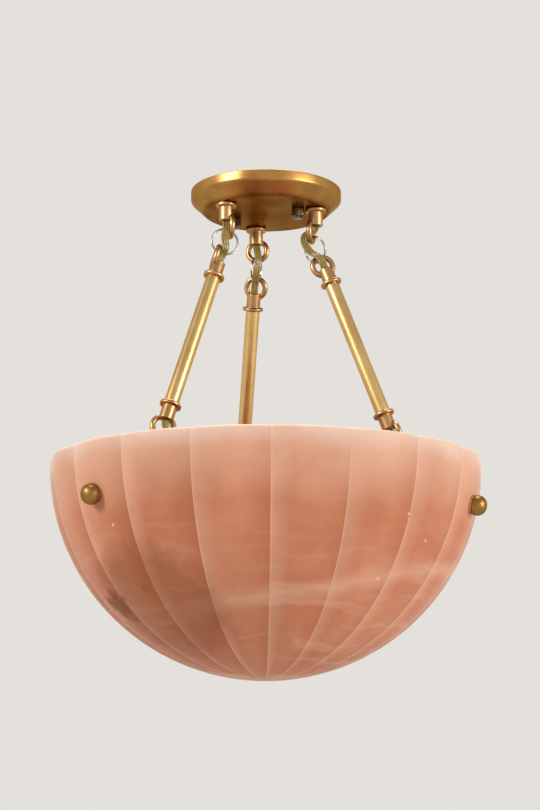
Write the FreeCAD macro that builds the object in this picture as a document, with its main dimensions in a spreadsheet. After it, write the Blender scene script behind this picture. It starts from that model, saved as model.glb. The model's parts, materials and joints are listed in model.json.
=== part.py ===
import FreeCAD, Part
import math
import os
import re
import Sketcher

Vector = FreeCAD.Vector
UP = Vector(0, 0, 1)

SIZES = {
    "canopy_radius": 59.2,
    "canopy_height": 17.5,
    "canopy_band": 7.5,
    "canopy_flat_radius": 48.5,
    "canopy_hem": 2.6,
    "canopy_wall": 1.2,
    "bar_end_gap": 4.6,
    "bar_width": 18,
    "bar_thickness": 2,
    "bar_azimuth": -40,
    "bar_middle_hole_radius": 4.9,
    "ground_screw_radius": 14,
    "box_screw_circle": 88.9,
    "box_screw_hole_radius": 2.3,
    "stud_circle_radius": 28.5,
    "stud_radius": 2,
    "stud_past_canopy": 5,
    "cap_nut_radius": 5,
    "cap_nut_height": 8,
    "thread_clearance": 0.05,
    "loop_circle_radius": 41,
    "loop_flange_radius": 8.2,
    "loop_flange_height": 3,
    "loop_neck_radius": 5.5,
    "loop_neck_height": 14,
    "loop_bore_radius": 3.4,
    "loop_stem_radius": 4.7,
    "loop_stem_length": 9,
    "ring_wire": 4.2,
    "ring_inside": 11.6,
    "ring_height": 18.2,
    "ring_offset": 3.6,
    "nut_corner_radius": 8.2,
    "nut_height": 3,
    "link_inside": 18.8,
    "link_wire": 1.6,
    "link_turn": 352,
    "contact_gap": 0.3,
    "rod_line_out": 12.5,
    "rod_line_fall": 61.8,
    "rod_tilt": 21.1,
    "rod_length": 110.3,
    "rod_radius": 5.55,
    "rod_wall": 0.8,
    "bowl_radius": 165.1,
    "bowl_depth": 165.2,
    "bowl_wall": 13.1,
    "rod_to_rim": 34.595,
    "flute_count": 18,
    "flute_depth": 2.7,
    "pole_radius": 2.5,
    "knob_angle": 13.7,
    "knob_radius": 7.6,
    "knob_height": 10,
    "knob_stud_radius": 2.4,
    "knob_stud_past": 2,
    "knob_hole_clearance": 1.2,
    "washer_radius": 7,
    "washer_thickness": 1,
    "pad_thickness": 1.5,
    "seat_gap": 0.2,
    "arm_drop_below_rim": 28.5,
    "arm_thickness": 3,
    "arm_width": 16,
    "arm_inner_radius": 12,
    "arm_screw_radius": 18,
    "tab_below_screw": 9,
    "cluster_radius": 26,
    "cluster_height": 34,
    "cluster_wall": 2,
    "grommet_circle_radius": 16,
    "grommet_radius": 4,
    "cord_radius": 2.2,
    "cord_play": 0.5,
    "socket_radius": 18,
    "socket_length": 40,
    "socket_floor": 12,
    "socket_boss_radius": 12,
    "socket_boss_length": 8,
    "shell_wall": 0.5,
    "shell_play": 0.3,
    "nipple_radius": 4.8,
    "nipple_wall": 1.2,
    "bulb_cap_radius": 13.1,
    "bulb_cap_length": 23,
    "bulb_radius": 24,
    "bulb_end_gap": 16,
    "bulb_wall": 1.2,
    "cover_spigot": 3,
    "cover_lip": 1,
    "cover_edge": 2,
    "cover_depth": 5,
    "cover_flat_radius": 8,
}

DERIVED = {
    "bar_length": "=2 * (canopy_radius - canopy_hem - bar_end_gap)",
    "rod_line_radius": "=loop_circle_radius + rod_line_out",
    "rod_line_drop": "=canopy_height + rod_line_fall",
    "bowl_drop": "=rod_line_drop + rod_length * cos(rod_tilt) + rod_to_rim",
    "bowl_inside": "=min(bowl_radius; bowl_depth) - bowl_wall",
    "knob_reach": "=1 / sqrt((cos(knob_angle) / bowl_radius)^2 + (sin(knob_angle) / bowl_depth)^2)",
    "bulb_length": "=bowl_inside / 2 - bulb_end_gap",
}

ARMS = {
    "rear": {"azimuth": 90, "canopy": 150, "top": 150, "bottom": 60, "eye": 240, "upper": 55, "lower": -20},
    "left": {"azimuth": 210, "canopy": -30, "top": 150, "bottom": 60, "eye": 60, "upper": 60, "lower": -25},
    "right": {"azimuth": 330, "canopy": 5, "top": -60, "bottom": 210, "eye": -110, "upper": 60, "lower": -38},
}

UPPER_ROUTES = {
    "rear": [(41, 0, -22), (41, 0, -32.8), (38.2, -2, -44), (41.6, 1.5, -50.3), (46.4, 5.9, -59.1),
             (48.45, 0, -66.2), (53.3, 0, -78.8)],
    "left": [(41, 0, -22), (41, 0, -32.8), (43.1, 3.6, -36.8), (46, 4, -46.1), (45.9, 6.4, -56.1),
             (47.15, 0, -62.9), (52, 0, -75.4)],
    "right": [(41, 0, -22), (41, 0, -32.8), (39.6, -1.1, -35.5), (30.9, -5, -40.9), (36.6, -2, -53),
              (44.9, -3.3, -57), (47.45, 0, -63.65), (52.3, 0, -76.2)],
}
LOWER_ROUTES = {
    "rear": [(95.9, 0, -189.2), (100.3, 0, -200.6), (100.1, 3.4, -205.3), (96.6, 5.6, -222.6),
             (84, 4, -237.5), (34, 9, -236), (8, 13.86, -236), (8, 13.86, -249)],
    "left": [(94.6, 0, -185.8), (99, 0, -197.2), (99.4, 3.1, -202.3), (97.7, 4.5, -223.3),
             (84, 4, -237.5), (34, 9, -236), (8, 13.86, -236), (8, 13.86, -249)],
    "right": [(94.9, 0, -186.6), (99.3, 0, -198), (99.5, 1.8, -203.9), (97, 4.1, -223), (84, 4, -237.5),
              (34, 9, -236), (8, 13.86, -236), (8, 13.86, -249)],
}

doc = FreeCAD.newDocument("ceiling_light")
sizes = doc.addObject("Spreadsheet::Sheet", "sizes")
NAMES = {**SIZES, **DERIVED}
for row, (alias, entry) in enumerate(NAMES.items(), 1):
    sizes.set("A%d" % row, alias)
    sizes.set("B%d" % row, str(entry))
    sizes.setAlias("B%d" % row, alias)
doc.recompute()

nodes = []


def size(alias):
    """Value of one cell of the sheet."""
    return float(sizes.get(alias))


def bound(text):
    """Expression text with every size name pointed at the sheet."""
    return re.sub(r"[a-z_]{4,}", lambda m: "sizes." + m.group() if m.group() in NAMES else m.group(), text)


def value(text):
    """Number an expression stands for at the moment."""
    return float(sizes.evalExpression(bound(text)))


def node(thing, label, placement=None):
    """Mark an object as a finished sub-part under its own label."""
    thing.Label = label
    if placement is not None:
        thing.Placement = placement
    nodes.append(thing)
    return thing


def polar(radius, azimuth, height=0):
    """Point at a radius and azimuth round the hanging axis."""
    angle = math.radians(azimuth)
    return Vector(radius * math.cos(angle), radius * math.sin(angle), height)


def aimed(origin, along, side):
    """Placement with Z along one direction and X leaning to another."""
    return FreeCAD.Placement(origin, FreeCAD.Rotation(side, Vector(), along, "ZXY"))


def outline(body, corners):
    """Closed sketch on the XZ plane through corners of (across, up, rounding) expressions."""
    sketch = body.newObject("Sketcher::SketchObject", "profile")
    for feature in body.Origin.OriginFeatures:
        if feature.Role == "XZ_Plane":
            sketch.AttachmentSupport = [(feature, "")]
    sketch.MapMode = "FlatFace"
    count = len(corners)
    spots = [Vector(value(across), value(up), 0) for across, up, rounding in corners]
    radii = [value(rounding) for across, up, rounding in corners]
    entries = []
    exits = []
    middles = []
    for i in range(count):
        back = (spots[i - 1] - spots[i]).normalize()
        fore = (spots[(i + 1) % count] - spots[i]).normalize()
        half = back.getAngle(fore) / 2
        trim = radii[i] / math.tan(half)
        entries.append(spots[i] + back * trim)
        exits.append(spots[i] + fore * trim)
        middles.append(spots[i] + (back + fore).normalize() * (radii[i] / math.sin(half) - radii[i]))
    lines = []
    for i in range(count):
        lines.append(sketch.addGeometry(Part.LineSegment(exits[i], entries[(i + 1) % count])))
    for i in range(count):
        into = lines[i - 1]
        out = lines[i]
        held, end = out, 1
        if radii[i]:
            arc = sketch.addGeometry(Part.Arc(entries[i], middles[i], exits[i]))
            first = 1 if sketch.getPoint(arc, 1).distanceToPoint(entries[i]) < 1e-6 else 2
            held, end = sketch.addGeometry(Part.Point(spots[i]), True), 1
            sketch.addConstraint(Sketcher.Constraint("Tangent", into, 2, arc, first))
            sketch.addConstraint(Sketcher.Constraint("Tangent", arc, 3 - first, out, 1))
            sketch.addConstraint(Sketcher.Constraint("PointOnObject", held, 1, into))
            sketch.addConstraint(Sketcher.Constraint("PointOnObject", held, 1, out))
            index = sketch.addConstraint(Sketcher.Constraint("Radius", arc, radii[i]))
            sketch.setExpression("Constraints[%d]" % index, bound(corners[i][2]))
        else:
            sketch.addConstraint(Sketcher.Constraint("Coincident", into, 2, out, 1))
        for kind, axis, number, text in (
            ("DistanceX", -2, spots[i].x, corners[i][0]),
            ("DistanceY", -1, spots[i].y, corners[i][1]),
        ):
            if text == "0":
                sketch.addConstraint(Sketcher.Constraint("PointOnObject", held, end, axis))
            else:
                index = sketch.addConstraint(Sketcher.Constraint(kind, -1, 1, held, end, number))
                sketch.setExpression("Constraints[%d]" % index, bound(text))
    return sketch


def turned(name, corners):
    """Body turned about its Z axis from one outline."""
    body = doc.addObject("PartDesign::Body", name)
    sketch = outline(body, corners)
    spin = body.newObject("PartDesign::Revolution", "turning")
    spin.Profile = sketch
    spin.ReferenceAxis = (sketch, ["V_Axis"])
    spin.Angle = 360
    sketch.Visibility = False
    return body


def cylinder(radius, height, placement=None, lift="0"):
    """Cylinder with its radius, height and lift along its own axis bound to the sheet."""
    post = doc.addObject("Part::Cylinder", "post")
    post.setExpression("Radius", bound(radius))
    post.setExpression("Height", bound(height))
    base = placement if placement is not None else FreeCAD.Placement()
    post.Placement = base.multiply(FreeCAD.Placement(Vector(0, 0, value(lift)), FreeCAD.Rotation()))
    return post


def group(kind, things):
    """Fuse or compound of several shapes."""
    if kind == "fuse":
        whole = doc.addObject("Part::MultiFuse", "joined")
        whole.Shapes = things
    else:
        whole = doc.addObject("Part::Compound", "set")
        whole.Links = things
    return whole


def cut(base, tools):
    """Base with one or more tools taken away."""
    result = doc.addObject("Part::Cut", "trimmed")
    result.Base = base
    result.Tool = tools[0] if len(tools) == 1 else group("fuse", tools)
    return result


def hex_nut(placement):
    """Hexagonal lock nut on a loop's stem, its face at the placement."""
    prism = doc.addObject("Part::Prism", "hexagon")
    prism.Polygon = 6
    prism.setExpression("Circumradius", bound("nut_corner_radius"))
    prism.setExpression("Height", bound("nut_height"))
    prism.Placement = placement
    bore = cylinder("loop_stem_radius + thread_clearance", "nut_height + 2", placement, "-1")
    return cut(prism, [bore])


def loop_fitting(label, placement):
    """Hollow neck with a flange, a threaded stem and a ring brazed to one side of the neck."""
    neck = turned("neck", [
        ("0", "-loop_stem_length", "0"),
        ("loop_stem_radius", "-loop_stem_length", "0"),
        ("loop_stem_radius", "0", "0"),
        ("loop_flange_radius", "0", "1.2"),
        ("loop_flange_radius", "loop_flange_height", "1.2"),
        ("loop_neck_radius", "loop_flange_height", "0"),
        ("loop_neck_radius", "loop_neck_height", "0.8"),
        ("0", "loop_neck_height", "0"),
    ])
    ring = doc.addObject("Part::Torus", "ring")
    ring.setExpression("Radius1", bound("(ring_inside + ring_wire) / 2"))
    ring.setExpression("Radius2", bound("ring_wire / 2"))
    ring.Placement = aimed(Vector(size("ring_offset"), 0, size("ring_height")), Vector(1, 0, 0), UP)
    through = "loop_stem_length + loop_neck_height + 2"
    bore = cylinder("loop_bore_radius", through, None, "-loop_stem_length - 1")
    return node(cut(group("fuse", [neck, ring]), [bore]), label, placement)


def ring_grip(placement, towards):
    """Point on a loop ring's wire centre line that lies nearest to a direction."""
    middle = placement.multVec(Vector(size("ring_offset"), 0, size("ring_height")))
    normal = placement.Rotation.multVec(Vector(1, 0, 0))
    away = towards - middle
    flat = (away - normal * away.dot(normal)).normalize()
    return middle + flat * (size("ring_inside") + size("ring_wire")) / 2


def ring_middle(placement):
    """Centre of a loop's ring."""
    return placement.multVec(Vector(size("ring_offset"), 0, size("ring_height")))


def grips(first, second):
    """The two points where one link takes hold of two loop rings."""
    start = ring_grip(first, ring_middle(second))
    finish = ring_grip(second, start)
    start = ring_grip(first, finish)
    return start, finish


def settle(make, low, high, first, outer):
    """Shift that leaves just the link's inside length between two loop rings."""
    wanted = size("link_inside") - size("ring_wire") - 2 * size("contact_gap")
    for step in range(60):
        middle = (low + high) / 2
        start, finish = grips(first, make(middle))
        if (start.distanceToPoint(finish) > wanted) == outer:
            high = middle
        else:
            low = middle
    return (low + high) / 2


def link(label, start, finish, lean):
    """Thin open ring that holds two loop rings together."""
    along = (finish - start).normalize()
    normal = (lean - along * lean.dot(along)).normalize()
    ring = doc.addObject("Part::Torus", "jump_ring")
    ring.setExpression("Radius1", bound("(link_inside + link_wire) / 2"))
    ring.setExpression("Radius2", bound("link_wire / 2"))
    ring.setExpression("Angle3", bound("link_turn"))
    return node(ring, label, aimed((start + finish) / 2, normal, along.cross(normal)))


canopy_shell = turned("canopy_shell", [
    ("0", "-canopy_height", "0"),
    ("canopy_flat_radius", "-canopy_height", "2"),
    ("canopy_radius", "-canopy_band", "3"),
    ("canopy_radius", "0", "0"),
    ("canopy_radius - canopy_hem", "0", "0"),
    ("canopy_radius - canopy_hem", "-canopy_wall", "0"),
    ("canopy_radius - canopy_wall", "-canopy_wall", "0"),
    ("canopy_radius - canopy_wall", "canopy_wall / 2 - canopy_band", "2"),
    ("canopy_flat_radius - canopy_wall / 3", "canopy_wall - canopy_height", "1"),
    ("0", "canopy_wall - canopy_height", "0"),
])
floor_z = -size("canopy_height")
bar_side = polar(1, size("bar_azimuth"))
studs = [polar(turn * size("stud_circle_radius"), size("bar_azimuth"), floor_z) for turn in (1, -1)]
box_holes = [polar(turn * size("box_screw_circle") / 2, size("bar_azimuth")) for turn in (1, -1)]
canopy_holes = []
for arm in ARMS.values():
    spot = polar(size("loop_circle_radius"), arm["azimuth"], floor_z)
    frame = aimed(spot, UP, bar_side)
    canopy_holes.append(cylinder("loop_stem_radius + 2 * thread_clearance", "canopy_wall + 4", frame, "-2"))
for spot in studs:
    frame = aimed(spot, UP, bar_side)
    canopy_holes.append(cylinder("stud_radius + contact_gap", "canopy_wall + 4", frame, "-2"))
node(cut(canopy_shell, canopy_holes), "canopy")

bar = doc.addObject("Part::Box", "bar")
bar.setExpression("Length", bound("bar_length"))
bar.setExpression("Width", bound("bar_width"))
bar.setExpression("Height", bound("bar_thickness"))
bar_frame = aimed(Vector(), UP, bar_side)
bar_start = Vector(-size("bar_length") / 2, -size("bar_width") / 2, -size("bar_thickness"))
bar.Placement = bar_frame.multiply(FreeCAD.Placement(bar_start, FreeCAD.Rotation()))
bar_drill = "bar_thickness + 4"
bar_under = "-bar_thickness - 2"
bar_holes = [cylinder("bar_middle_hole_radius", bar_drill, bar_frame, bar_under)]
for spot in box_holes:
    bar_holes.append(cylinder("box_screw_hole_radius", bar_drill, aimed(spot, UP, bar_side), bar_under))
for spot in studs:
    level = aimed(Vector(spot.x, spot.y, 0), UP, bar_side)
    bar_holes.append(cylinder("stud_radius + thread_clearance", bar_drill, level, bar_under))
ground_spot = polar(size("ground_screw_radius"), size("bar_azimuth") + 25)
ground_frame = aimed(Vector(ground_spot.x, ground_spot.y, -size("bar_thickness")), UP * -1, bar_side)
bar_holes.append(cylinder("stud_radius + thread_clearance", bar_drill, ground_frame, bar_under))
node(cut(bar, bar_holes), "mounting_bar")

stud_posts = []
nut_bodies = []
for spot in studs:
    stud_frame = aimed(spot, UP * -1, bar_side)
    stud_reach = "canopy_height - seat_gap + stud_past_canopy"
    stud_posts.append(cylinder("stud_radius", stud_reach, stud_frame, "seat_gap - canopy_height"))
    cap = turned("cap_nut", [
        ("0", "stud_past_canopy + 1", "0"),
        ("stud_radius + thread_clearance", "stud_past_canopy + 1", "0"),
        ("stud_radius + thread_clearance", "0", "0"),
        ("cap_nut_radius", "0", "0.5"),
        ("cap_nut_radius", "cap_nut_height", "1.5"),
        ("0", "cap_nut_height", "0"),
    ])
    cap.Placement = stud_frame
    nut_bodies.append(cap)
node(group("set", stud_posts), "bar_studs")
node(group("set", nut_bodies), "cap_nuts")
ground_head = turned("ground_head", [
    ("0", "-bar_thickness + 0.2", "0"),
    ("stud_radius", "-bar_thickness + 0.2", "0"),
    ("stud_radius", "0", "0"),
    ("4", "0", "0"),
    ("4", "2.4", "1"),
    ("0", "2.4", "0"),
])
node(ground_head, "ground_screw", ground_frame)

arm_top = -size("bowl_drop") - size("arm_drop_below_rim")
tilt = math.radians(size("rod_tilt"))
canopy_nuts = []
eye_nuts = []
for name, arm in ARMS.items():
    outward = polar(1, arm["azimuth"])
    sideways = UP.cross(outward)
    inward = outward * -1
    across = sideways * -1

    def facing(turn, face):
        """Direction a ring is brazed in, turned from the side that faces the hanging axis."""
        angle = math.radians(turn)
        return face * math.cos(angle) + across * math.sin(angle)

    upper_side = facing(arm["canopy"], inward)
    upper = aimed(outward * size("loop_circle_radius") + UP * floor_z, UP * -1, upper_side)
    down_rod = outward * math.sin(tilt) - UP * math.cos(tilt)
    rod_face = outward * -math.cos(tilt) - UP * math.sin(tilt)
    line_start = outward * size("rod_line_radius") - UP * size("rod_line_drop")

    def rod_top(shift):
        """Placement of the rod's upper loop when the rod is shifted along its own line."""
        seat = line_start + down_rod * (shift + size("loop_flange_height") / 2)
        return aimed(seat, down_rod * -1, facing(arm["top"], rod_face))

    shift = settle(rod_top, -0.8 * size("link_inside"), size("link_inside"), upper, True)
    top = rod_top(shift)
    bottom = aimed(top.Base + down_rod * size("rod_length"), down_rod, facing(arm["bottom"], rod_face))

    def eye(radius):
        """Placement of the loop that stands on the frame arm at one radius."""
        return aimed(outward * radius + UP * arm_top, UP, facing(arm["eye"], inward))

    near = bottom.Base.dot(outward)
    reach = size("link_inside")
    eye_radius = settle(eye, near + 0.3 * reach, near + 2.4 * reach, bottom, True)
    arm["eye_radius"] = eye_radius
    standing = eye(eye_radius)
    start, finish = grips(upper, top)
    start_low, finish_low = grips(bottom, standing)
    arm["pivots"] = [start, finish, start_low, finish_low]
    loop_fitting("canopy_loop_" + name, upper)
    link("upper_link_" + name, start, finish, facing(arm["upper"], inward))
    loop_fitting("rod_top_loop_" + name, top)
    tube = cylinder("rod_radius", "rod_length")
    hollow = cylinder("rod_radius - rod_wall", "rod_length + 2", None, "-1")
    node(cut(tube, [hollow]), "rod_tube_" + name, aimed(top.Base, down_rod, rod_face))
    loop_fitting("rod_bottom_loop_" + name, bottom)
    link("lower_link_" + name, start_low, finish_low, facing(arm["lower"], inward))
    loop_fitting("frame_eye_" + name, standing)
    inside = outward * size("loop_circle_radius") + UP * (floor_z + size("canopy_wall"))
    canopy_nuts.append(hex_nut(aimed(inside, UP, sideways)))
    under = outward * eye_radius + UP * (arm_top - size("arm_thickness"))
    eye_nuts.append(hex_nut(aimed(under, UP * -1, sideways)))
    print("arm", name, "shift %.2f eye radius %.2f" % (shift, eye_radius))
    print("pivots", name, [[round(c, 3) for c in point] for point in arm["pivots"]])
node(group("set", canopy_nuts), "canopy_loop_nuts")
node(group("set", eye_nuts), "eye_nuts")


def fluted_ring(radius, height):
    """Closed wire of equal outward arcs, one to each flute lobe."""
    count = int(size("flute_count"))
    valley = radius * (1 - size("flute_depth") / size("bowl_radius"))
    step = 360 / count
    edges = []
    for lobe in range(count):
        middle = 90 + lobe * step
        ends = [polar(valley, middle - step / 2, height), polar(valley, middle + step / 2, height)]
        edges.append(Part.Arc(ends[0], polar(radius, middle, height), ends[1]).toShape())
    return Part.Wire(edges)


last_angle = math.degrees(math.acos(size("pole_radius") / size("bowl_radius")))
first_angle = -12
rings = []
for step in range(15):
    angle = math.radians(first_angle + (last_angle - first_angle) * step / 14)
    rings.append(fluted_ring(size("bowl_radius") * math.cos(angle), -size("bowl_depth") * math.sin(angle)))
bowl_blank = doc.addObject("Part::Feature", "bowl_blank")
bowl_blank.Shape = Part.makeLoft(rings, True, False)
above_rim = cylinder("bowl_radius + 10", "bowl_depth")
hollow = doc.addObject("Part::Sphere", "bowl_hollow")
hollow.setExpression("Radius", bound("bowl_inside"))
knob_frames = {}
for name, arm in ARMS.items():
    dip = math.radians(size("knob_angle"))
    out = polar(math.cos(dip), arm["azimuth"], -math.sin(dip))
    knob_frames[name] = aimed(UP * -size("bowl_drop"), out, UP)
bowl_holes = [above_rim, hollow]
wall_drill = "bowl_radius - bowl_inside + 20"
for name in ARMS:
    local = FreeCAD.Placement(Vector(), knob_frames[name].Rotation)
    hole = cylinder("knob_stud_radius + knob_hole_clearance", wall_drill, local, "bowl_inside - 10")
    bowl_holes.append(hole)
node(cut(bowl_blank, bowl_holes), "bowl", FreeCAD.Placement(UP * -size("bowl_drop"), FreeCAD.Rotation()))

washers = []
pads = []
arm_screws = []
tab_face = "(bowl_inside - seat_gap - pad_thickness)"
thin_face = "(" + tab_face + " - arm_thickness)"
knob_seat = "(knob_reach + washer_thickness + 2 * thread_clearance)"
stud_end = "(" + thin_face + " - knob_stud_past - " + knob_seat + ")"
for name, arm in ARMS.items():
    outward = polar(1, arm["azimuth"])
    axis = knob_frames[name]
    washer = cylinder("washer_radius", "washer_thickness", axis, "knob_reach + thread_clearance")
    washer_hole = cylinder("knob_stud_radius + 0.2", "washer_thickness + 4", axis, "knob_reach - 2")
    washers.append(cut(washer, [washer_hole]))
    pad = cylinder("washer_radius", "pad_thickness", axis, tab_face)
    pad_hole = cylinder("knob_stud_radius + 0.4", "pad_thickness + 4", axis, tab_face + " - 2")
    pads.append(cut(pad, [pad_hole]))
    knob = turned("knob", [
        ("0", stud_end, "0"),
        ("knob_stud_radius", stud_end, "0"),
        ("knob_stud_radius", "0", "0"),
        ("knob_radius - 0.8", "0", "0"),
        ("knob_radius", "1", "0"),
        ("knob_radius", "knob_height", "knob_radius - 1"),
        ("0", "knob_height", "0"),
    ])
    seat = axis.multiply(FreeCAD.Placement(UP * value(knob_seat), FreeCAD.Rotation()))
    node(knob, "knob_screw_" + name, seat)
    strap = doc.addObject("PartDesign::Body", "strap")
    reach = "(%s * %s(knob_angle) %s %s * %s(knob_angle))"
    under_drop = "(arm_drop_below_rim + arm_thickness)"
    top_run = "((" + tab_face + " * sin(knob_angle) - arm_drop_below_rim) / cos(knob_angle))"
    thin_run = "((" + thin_face + " * sin(knob_angle) - " + under_drop + ") / cos(knob_angle))"
    low_run = "(-tab_below_screw)"
    tips = []
    for face in (tab_face, thin_face):
        across_text = reach % (face, "cos", "+", low_run, "sin")
        tips.append((across_text, reach % (face + " * -1", "sin", "+", low_run, "cos"), "0"))
    corners = [
        ("arm_inner_radius", "-arm_drop_below_rim", "0"),
        (reach % (tab_face, "cos", "+", top_run, "sin"), "-arm_drop_below_rim", "arm_thickness + 1"),
        tips[0],
        tips[1],
        (reach % (thin_face, "cos", "+", thin_run, "sin"), "-" + under_drop, "1"),
        ("arm_inner_radius", "-" + under_drop, "0"),
    ]
    side = outline(strap, corners)
    pad_feature = strap.newObject("PartDesign::Pad", "strap_width")
    pad_feature.Profile = side
    pad_feature.SideType = "Symmetric"
    pad_feature.setExpression("Length", bound("arm_width"))
    side.Visibility = False
    rim_frame = aimed(UP * -size("bowl_drop"), UP, outward)
    strap.Placement = rim_frame
    eye_spot = aimed(outward * arm["eye_radius"] + UP * arm_top, UP * -1, outward)
    screw_spot = aimed(outward * size("arm_screw_radius") + UP * arm_top, UP * -1, outward)
    holes = [
        cylinder("loop_stem_radius + thread_clearance", "arm_thickness + 4", eye_spot, "-2"),
        cylinder("stud_radius + thread_clearance", "arm_thickness + 4", screw_spot, "-2"),
        cylinder("knob_stud_radius + thread_clearance", "arm_thickness + 4", axis, thin_face + " - 2"),
    ]
    node(cut(strap, holes), "frame_arm_" + name)
    screw = turned("arm_screw", [
        ("0", "arm_thickness + cluster_wall + 3", "0"),
        ("stud_radius", "arm_thickness + cluster_wall + 3", "0"),
        ("stud_radius", "0", "0"),
        ("3.6", "0", "0"),
        ("3.6", "-2.2", "1"),
        ("0", "-2.2", "0"),
    ])
    screw.Placement = screw_spot
    arm_screws.append(screw)
node(group("set", washers), "knob_washers")
node(group("set", pads), "wall_pads")
node(group("set", arm_screws), "arm_screws")

cluster_top = arm_top - size("arm_thickness")
cluster_frame = aimed(UP * cluster_top, UP * -1, Vector(1, 0, 0))
cup = turned("cluster_cup", [
    ("0", "0", "0"),
    ("cluster_radius", "0", "2"),
    ("cluster_radius", "cluster_height", "0"),
    ("cluster_radius - cluster_wall", "cluster_height", "0"),
    ("cluster_radius - cluster_wall", "cluster_wall", "0"),
    ("0", "cluster_wall", "0"),
])
cup.Placement = cluster_frame
cup_holes = []
grommets = []
nipples = []
shells = []
for number, azimuth in enumerate((30, 150, 270), 1):
    outward = polar(1, azimuth)
    hole_frame = aimed(outward * size("grommet_circle_radius") + UP * cluster_top, UP * -1, outward)
    cup_holes.append(cylinder("grommet_radius + thread_clearance", "cluster_wall + 4", hole_frame, "-2"))
    screw_frame = aimed(polar(size("arm_screw_radius"), azimuth + 60, cluster_top), UP * -1, outward)
    cup_holes.append(cylinder("stud_radius + thread_clearance", "cluster_wall + 4", screw_frame, "-2"))
    grommet = turned("grommet", [
        ("cord_radius + cord_play", "-1.2", "0"),
        ("grommet_radius + 1.4", "-1.2", "0.6"),
        ("grommet_radius + 1.4", "-0.02", "0"),
        ("grommet_radius", "-0.02", "0"),
        ("grommet_radius", "cluster_wall + 1", "0"),
        ("cord_radius + cord_play", "cluster_wall + 1", "0"),
    ])
    grommet.Placement = hole_frame
    grommets.append(grommet)
    level = cluster_top - size("cluster_height") / 2
    axis = aimed(outward * (size("cluster_radius") + size("seat_gap")) + UP * level, outward, UP)
    cup_holes.append(cylinder("nipple_radius + thread_clearance", "12", axis, "-10"))
    nipple = turned("nipple", [
        ("nipple_radius - nipple_wall", "-8", "0"),
        ("nipple_radius", "-8", "0"),
        ("nipple_radius", "socket_floor - 3", "0"),
        ("nipple_radius - nipple_wall", "socket_floor - 3", "0"),
    ])
    nipple.Placement = axis
    nipples.append(nipple)
    shell_outside = "bulb_cap_radius + shell_play + shell_wall"
    holder = turned("holder", [
        ("nipple_radius + thread_clearance", "0", "0"),
        ("socket_boss_radius", "0", "1"),
        ("socket_boss_radius", "socket_boss_length", "2"),
        ("socket_radius", "socket_boss_length + 3", "2"),
        ("socket_radius", "socket_length", "1.5"),
        (shell_outside + " + thread_clearance", "socket_length", "0"),
        (shell_outside + " + thread_clearance", "socket_floor", "0"),
        ("nipple_radius + thread_clearance", "socket_floor", "0"),
    ])
    node(holder, "socket_%d" % number, axis)
    shell = turned("screw_shell", [
        ("nipple_radius", "socket_floor + 0.05", "0"),
        (shell_outside, "socket_floor + 0.05", "0"),
        (shell_outside, "socket_length - 3", "0"),
        ("bulb_cap_radius + shell_play", "socket_length - 3", "0"),
        ("bulb_cap_radius + shell_play", "socket_floor + shell_wall + 0.05", "0"),
        ("nipple_radius", "socket_floor + shell_wall + 0.05", "0"),
    ])
    shell.Placement = axis
    shells.append(shell)
    mouth = axis.multiply(FreeCAD.Placement(UP * size("socket_length"), FreeCAD.Rotation()))
    cap = turned("bulb_cap", [
        ("0", "-1 - bulb_cap_length", "0"),
        ("5", "-1 - bulb_cap_length", "1"),
        ("bulb_cap_radius", "3 - bulb_cap_length", "1"),
        ("bulb_cap_radius", "0", "0"),
        ("0", "0", "0"),
    ])
    node(cap, "bulb_cap_%d" % number, mouth)
    glass = turned("bulb_glass", [
        ("bulb_cap_radius - bulb_wall", "0.05", "0"),
        ("bulb_cap_radius", "0.05", "0"),
        ("bulb_radius", "0.42 * bulb_length", "0.6 * bulb_radius"),
        ("bulb_radius", "bulb_length", "bulb_radius - 0.5"),
        ("0", "bulb_length", "0"),
        ("0", "bulb_length - bulb_wall", "0"),
        ("bulb_radius - bulb_wall", "bulb_length - bulb_wall", "bulb_radius - bulb_wall - 0.5"),
        ("bulb_radius - bulb_wall", "0.42 * bulb_length + 0.3", "0.6 * bulb_radius"),
    ])
    node(glass, "bulb_glass_%d" % number, mouth)
node(cut(cup, cup_holes), "cluster_body")
node(group("set", grommets), "cord_grommets")
node(group("set", nipples), "socket_nipples")
node(group("set", shells), "screw_shells")
cover = turned("cover", [
    ("0", "cluster_height - cover_spigot", "0"),
    ("cluster_radius - cluster_wall - thread_clearance", "cluster_height - cover_spigot", "0"),
    ("cluster_radius - cluster_wall - thread_clearance", "cluster_height + thread_clearance", "0"),
    ("cluster_radius + cover_lip", "cluster_height + thread_clearance", "0"),
    ("cluster_radius + cover_lip", "cluster_height + cover_edge", "cover_lip"),
    ("cover_flat_radius", "cluster_height + cover_depth", "cover_spigot"),
    ("0", "cluster_height + cover_depth", "0"),
])
node(cover, "cluster_cover", cluster_frame)


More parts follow.
